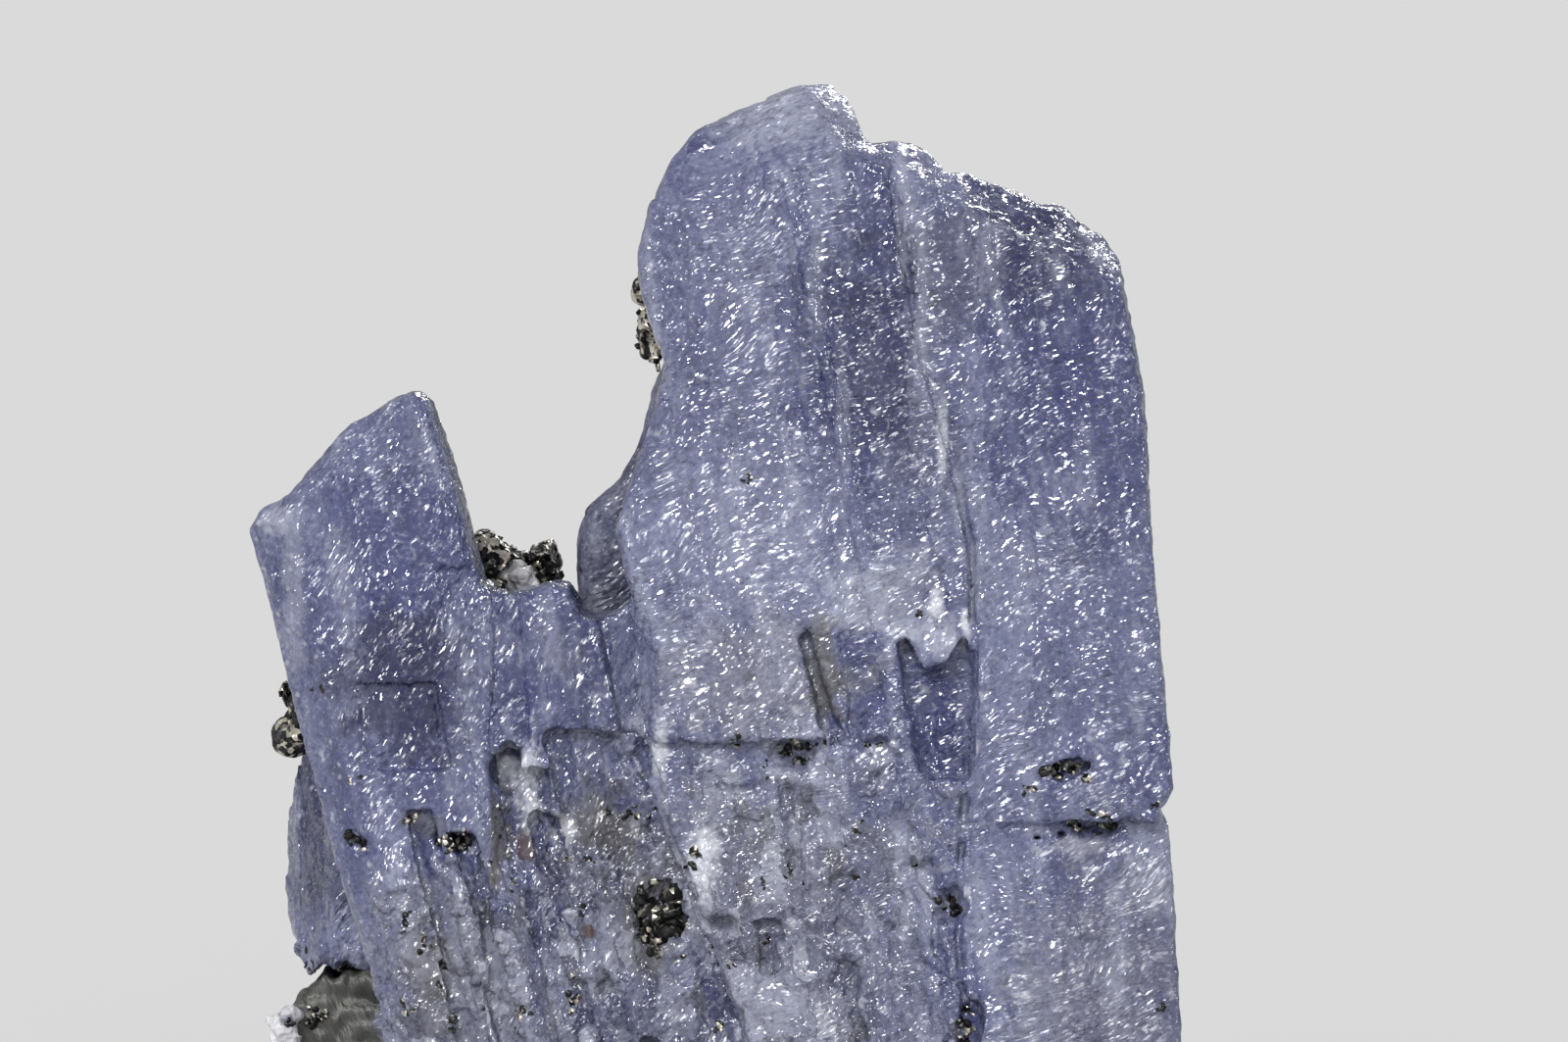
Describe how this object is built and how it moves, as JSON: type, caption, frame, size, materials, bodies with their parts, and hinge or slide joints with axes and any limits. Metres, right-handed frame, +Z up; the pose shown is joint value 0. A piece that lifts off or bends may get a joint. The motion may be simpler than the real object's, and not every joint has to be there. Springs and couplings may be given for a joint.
{
  "type": "tanzanite crystal cluster",
  "caption": "Cluster of blue-violet prismatic crystals grown together, one tall and one leaning, with graphite crusts and flakes, cut off flat at the foot.",
  "frame": {"origin": "middle of the cluster's box, on the flat cut that it rests on", "axes": "+Z up along the tall crystal, +Y from the fine front faces to the back, +X to the right seen from the front"},
  "size_m": [0.0328, 0.0147, 0.0421],
  "materials": {
    "tanzanite": "satin",
    "grey_zoisite": "satin",
    "graphite": "satin",
    "matrix": "satin",
    "calcite": "satin"
  },
  "bodies": {
    "root": {"main_crystal": "tanzanite", "left_crystal": "tanzanite", "saddle_crystal": "tanzanite", "side_crystal": "tanzanite", "rear_crystal": "grey_zoisite", "graphite_crust": "graphite", "graphite_side": "graphite", "graphite_rim": "graphite", "graphite_flake_1": "graphite", "graphite_flake_2": "graphite", "graphite_flake_3": "graphite", "graphite_flake_4": "graphite", "graphite_flake_5": "graphite", "graphite_flake_6": "graphite", "graphite_flake_7": "graphite", "graphite_flake_8": "graphite", "matrix_foot": "matrix", "calcite_saddle": "calcite", "calcite_foot": "calcite"}
  },
  "joints": []
}
